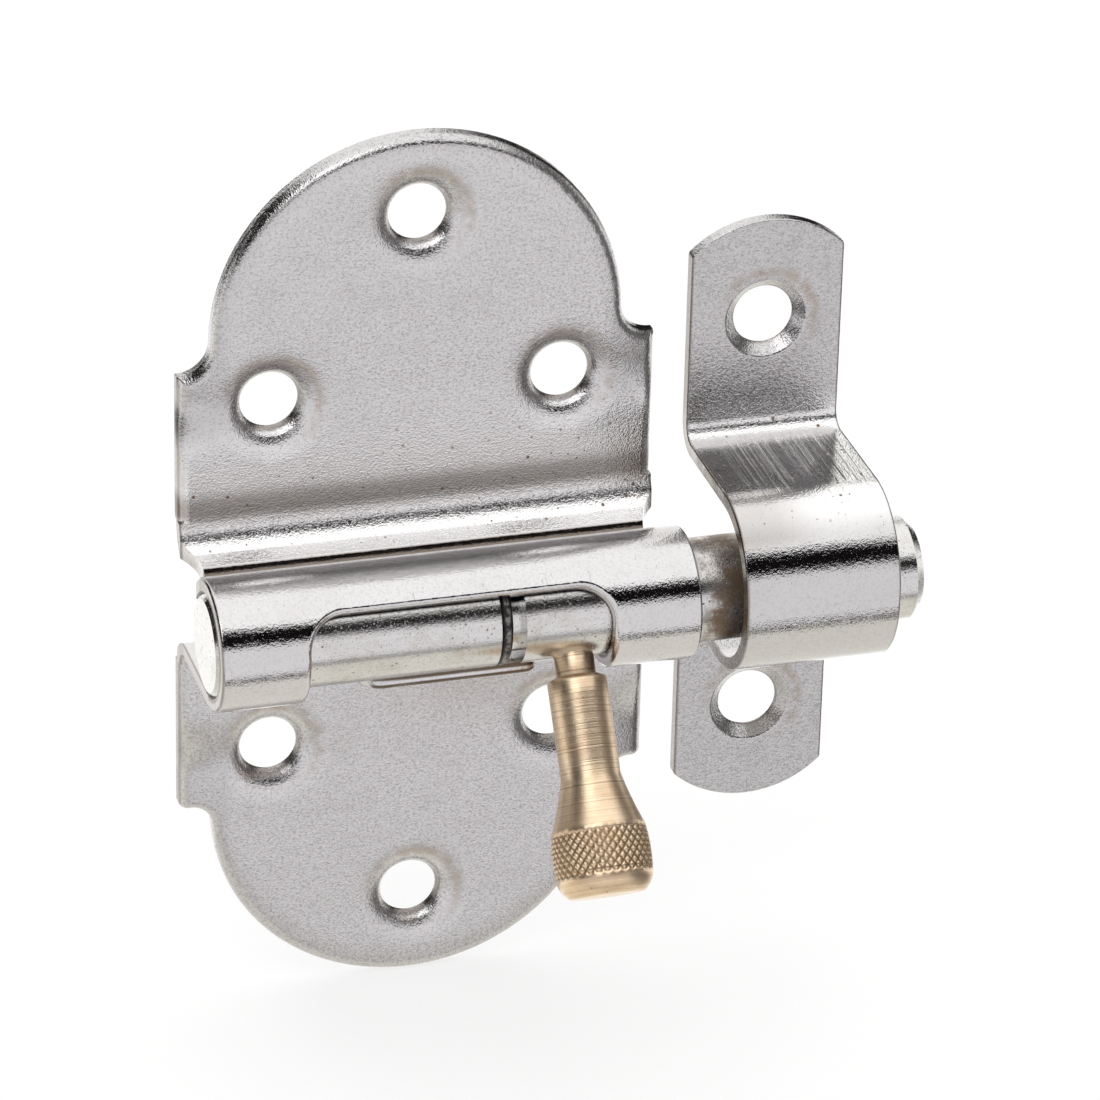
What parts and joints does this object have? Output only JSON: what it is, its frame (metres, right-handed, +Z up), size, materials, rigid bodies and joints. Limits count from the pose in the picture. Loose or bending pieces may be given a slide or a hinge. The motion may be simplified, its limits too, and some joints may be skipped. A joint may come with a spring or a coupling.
{
  "type": "barrel bolt",
  "caption": "Barrel bolt with an arched pressed steel case, a round sliding rod with a flared brass knob, and a bent strap keep.",
  "frame": {"origin": "centre of the case's screw pattern on the mounting plane, which is the wall plane Y = 0", "axes": "+X along the bolt in the direction in which it shoots, +Y into the wall, +Z up; the object stands off the wall towards -Y"},
  "size_m": [0.0662, 0.0304, 0.0848],
  "materials": {
    "case": "bright zinc or nickel plate, satin on the flat lobes",
    "bolt": "bright plate over a slightly pitted drawn rod",
    "knob": "turned brass with a knurled grip band",
    "spring_ring": "blackened spring steel",
    "keep": "bright zinc or nickel plate with draw marks over the bends"
  },
  "bodies": {
    "case": {"case": "case"},
    "ring": {"spring_ring": "spring_ring"},
    "bolt": {"bolt": "bolt", "knob": "knob"},
    "keep": {"keep": "keep"}
  },
  "joints": [
    {"name": "bolt_slide", "type": "slide", "parent": "case", "child": "ring", "axis": [1, 0, 0], "range_m": [-0.022, 0]},
    {"name": "knob_turn", "type": "hinge", "parent": "ring", "child": "bolt", "pos_m": [0, -0.0124, 0], "axis": [-1, 0, 0], "range_deg": [-45, 74]},
    {"name": "keep_offset", "type": "slide", "parent": "case", "child": "keep", "axis": [1, 0, 0], "range_m": [0, 0.02]}
  ]
}
